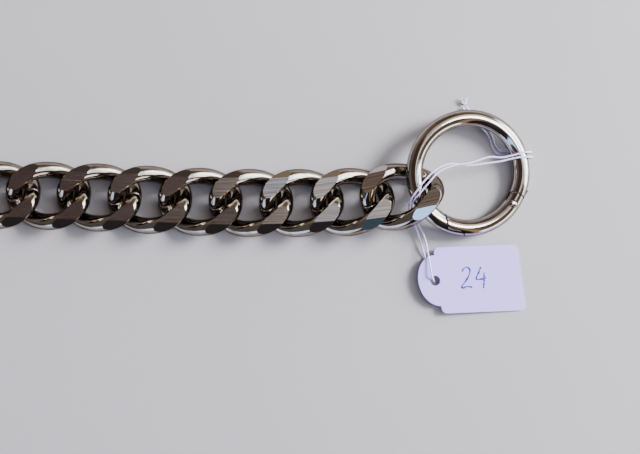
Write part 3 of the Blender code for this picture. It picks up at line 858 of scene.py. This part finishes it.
def carried_frames(points, turn_length):
    """Frames along points that turn with the thread's plies and not otherwise."""
    frames = []
    across = Vector((0.1, 0.2, 1))
    travel = 0.0
    for index, point in enumerate(points):
        heading = (points[min(index + 1, len(points) - 1)] - points[max(index - 1, 0)]).normalized()
        across = (across - heading * across.dot(heading)).normalized()
        up = heading.cross(across)
        if index:
            travel += (point - points[index - 1]).length
        turn = Matrix.Rotation(2 * pi * travel / turn_length, 4, "Z")
        frames.append(Matrix.Translation(point)
                      @ Matrix((across, up, heading)).transposed().to_4x4() @ turn)
    return frames


def plied_thread(points, radius, sides=12, turn_length=PLY_TURN):
    """A thread of twisted plies along points: the swept circle is pinched between its plies."""
    shape = bmesh.new()
    frames = carried_frames(points, turn_length)
    sweep(shape, frames, sides, radius)
    turns = [frame.inverted() for frame in frames]
    for index, vert in enumerate(shape.verts):
        frame, turn = frames[index // sides], turns[index // sides]
        spot = turn @ vert.co
        pinch = 0.90 + 0.10 * cos(PLIES * atan2(spot.y, spot.x))
        vert.co = frame @ Vector((spot.x * pinch, spot.y * pinch, spot.z))
    return shape


def knot_shape():
    """An overhand knot pulled tight, with two short ends that fray."""
    turns = [Vector((sin(a) + 2 * sin(2 * a), cos(a) - 2 * cos(2 * a), -1.1 * sin(3 * a))) * 0.2
             for a in np.linspace(0, 2 * pi, 91)]
    knot = plied_thread(turns, 0.24, turn_length=1.6)
    ends = (((0.3, 0.1, 0.2), (0.5, 0.6, 0.3), (0.6, 1.0, 0.1)),
            ((-0.3, 0.1, 0.1), (-0.6, 0.6, 0.2), (-0.9, 0.9, 0.0)))
    for end in ends:
        points, _ = smooth_route(end, 14)
        add_shape(knot, plied_thread(points, 0.22, turn_length=1.6))
        for hair in range(7):
            spread = Vector((sin(2.4 * hair), 0.6 + 0.4 * cos(1.7 * hair), 0.5 * sin(4.1 * hair)))
            tip = points[-1] + spread * 0.65
            tip.z = max(tip.z, -0.8)
            bend = (points[-1] + tip) / 2 + Vector((0.12 * cos(3.3 * hair), 0.15, 0.1))
            strand, _ = smooth_route([points[-2], bend, tip], 10)
            hair_shape = bmesh.new()
            sweep(hair_shape, carried_frames(strand, 9), 5, 0.06)
            add_shape(knot, hair_shape)
    return knot


def add_shape(shape, other):
    """Put another bmesh's mesh into a bmesh."""
    mesh = bpy.data.meshes.new("added")
    other.to_mesh(mesh)
    other.free()
    shape.from_mesh(mesh)
    bpy.data.meshes.remove(mesh)


def add_thread():
    """The thread along its route and its knotted tuft, both standing fixed in the world."""
    points, length = smooth_route(THREAD_ROUTE, THREAD_STEPS)
    points = [PLAN_ORIGIN + point for point in points]
    thread = new_piece("tag_thread", plied_thread(points, THREAD_RADIUS), (COTTON,))
    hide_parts("thread")
    knot_place = Matrix.Translation(PLAN_ORIGIN + KNOT_AT)
    knot = new_piece("thread_tuft", knot_shape(), (COTTON,), knot_place)
    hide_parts("thread_knot")
    for piece in (thread, knot):
        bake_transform(piece)


# ---------------------------------------------------------------- table, light and camera

def add_table():
    shape = bmesh.new()
    bmesh.ops.create_grid(shape, x_segments=4, y_segments=4, size=3000)
    table = new_piece("table", shape, (table_top("pale_table"),))


def light_room():
    """The room that the metal shows: dark and brown above and away, a pale wall and a bright
    window towards the right, and the dark of a person near the viewer between a golden edge
    and a strip of sky."""
    world = bpy.data.worlds.new("room")
    bpy.context.scene.world = world
    room = Finish(world)
    way = room.node("TexCoord", output="Generated")

    def past(across, low, high):
        """How far a direction is past a plane through the viewer, from 0 to 1."""
        dot = room.node("VectorMath", {"operation": "DOT_PRODUCT"}, {0: way, 1: across}, 1)
        return room.spread(dot, low, high)

    def toward(azimuth, lean, inner, outer):
        """A round patch at degrees from the right and from the zenith."""
        out = sin(radians(lean))
        centre = (out * cos(radians(azimuth)), out * sin(radians(azimuth)), cos(radians(lean)))
        return past(centre, cos(radians(outer)), cos(radians(inner)))

    up = (0, 0, 1)
    shade = room.mix(past(up, 0.62, 0.74), colour(0.20, 0.185, 0.18), colour(0.095, 0.060, 0.053))
    shade = room.mix(past(up, 0.06, 0.32), colour(0.10, 0.085, 0.075), shade)
    shade = room.mix(past((0, 1, 0), 0.35, 0.55), shade, colour(0.20, 0.145, 0.12))
    far_and_low = past((0, 1, 0), 0.3, 0.6) * past(up, 0.42, 0.28)
    shade = room.mix(far_and_low, shade, colour(0.34, 0.26, 0.19))
    shade = room.mix(toward(140, 72, 6, 15), shade, colour(0.44, 0.37, 0.28))
    shade = room.mix(toward(95, 61, 5, 12), shade, colour(0.09, 0.07, 0.062))
    pale = past((0.80, 0.60, 0), 0.02, 0.12) * past((0.50, -0.30, 0.81), 0.40, 0.58)
    wall = room.mix(past((1, 0, 0), 0.02, 0.36), colour(0.90, 0.78, 0.68), colour(2.2, 2.05, 1.85))
    shade = room.mix(pale, shade, wall)
    shade = room.mix(toward(93, 16, 2.5, 6), shade, colour(0.62, 0.74, 1.00))
    right = past((0.95, -0.31, 0), 0.28, 0.45) * past((0.707, -0.707, 0), -0.12, 0.05)
    sunlit = room.mix(past(up, 0.46, 0.28), colour(0.20, 0.155, 0.13), colour(4.6, 4.4, 4.2))
    shade = room.mix(right, shade, sunlit)
    window = past((0.22, 0.975, 0), -0.03, 0.05) * past((0.643, -0.766, 0), -0.02, 0.10)
    glow = room.mix(past(up, 0.62, 0.40), colour(3.4, 4.0, 4.8), colour(13.0, 13.4, 14.0))
    shade = room.mix(window * past((1, 0, 0), 0.34, 0.50), shade, glow)
    right_shoulder, left_shoulder = (0.936, 0.314, -0.158), (-0.676, 0.686, 0.269)
    gold = past(right_shoulder, 0.17, 0.08) * past((0, -1, 0), 0.2, 0.4)
    shade = room.mix(gold * past((1, 0, 0), 0.0, 0.15), shade, colour(0.70, 0.44, 0.28))
    person = past(right_shoulder, 0.06, -0.02) * past(left_shoulder, -0.01, -0.08)
    shade = room.mix(person, shade, colour(0.038, 0.030, 0.034))
    strip = past(left_shoulder, -0.10, -0.06) * past(left_shoulder, 0.05, 0.01)
    sky = room.mix(past(up, 0.985, 0.92), colour(0.36, 0.42, 0.72), colour(1.3, 2.2, 4.0))
    sky = room.mix(past(up, 0.75, 0.50), sky, colour(1.0, 1.1, 1.5))
    sky = room.mix(past(up, 0.36, 0.28), sky, colour(2.6, 3.2, 4.6))
    shade = room.mix(strip * past((1, 0, 0), 0.24, 0.12), shade, sky)
    shade = room.mix(toward(232, 80, 8, 18), shade, colour(2.2, 2.8, 4.2))
    shade = room.mix(toward(-80, 40, 2, 6), shade, colour(0.075, 0.125, 0.17))
    background = world.node_tree.nodes["Background"]
    room.join(background.inputs["Color"], shade)
    room.join(background.inputs["Strength"], 1.0)


def add_lamp(name, way, distance, size, power, tint, mirrored):
    """A soft area lamp that looks at the chain: it lights it, or only shows in its metal."""
    data = bpy.data.lights.new(name, "AREA")
    data.shape, data.size, data.energy, data.color = "DISK", size, power, tint
    lamp = bpy.data.objects.new(name, data)
    target = Vector((0.13, -0.01, 0))
    lamp.location = target + way * distance
    lamp.rotation_euler = (-way).to_track_quat("-Z", "Y").to_euler()
    lamp.visible_camera = False
    lamp.visible_glossy = mirrored
    lamp.visible_diffuse = not mirrored
    bpy.context.scene.collection.objects.link(lamp)


def add_camera():
    """Straight above, as the photograph was taken: 0.30 mm a pixel at the chain."""
    data = bpy.data.cameras.new("camera")
    height_over_chain, half_width_seen = 0.55, 0.096
    data.sensor_width = 36
    data.lens = data.sensor_width / 2 / (half_width_seen / height_over_chain)
    data.clip_start, data.clip_end = 0.01, 20
    camera = bpy.data.objects.new("camera", data)
    camera.location = (PLAN_ORIGIN.x * MM - 0.0444, PLAN_ORIGIN.y * MM - 0.0162, 0.555)
    bpy.context.scene.collection.objects.link(camera)
    bpy.context.scene.camera = camera


add_camera()
add_thread()
add_links()
add_ring()
add_tag()
add_table()
light_room()
add_lamp("far_lamp", Vector((0.77, 0.28, 0.57)), distance=1.1, size=0.35, power=35.0,
         tint=(1.0, 0.985, 1.0), mirrored=False)
add_lamp("high_pane", Vector((0.49, 0.15, 0.86)), distance=2.0, size=0.85, power=25.0,
         tint=(1.0, 0.98, 0.95), mirrored=True)
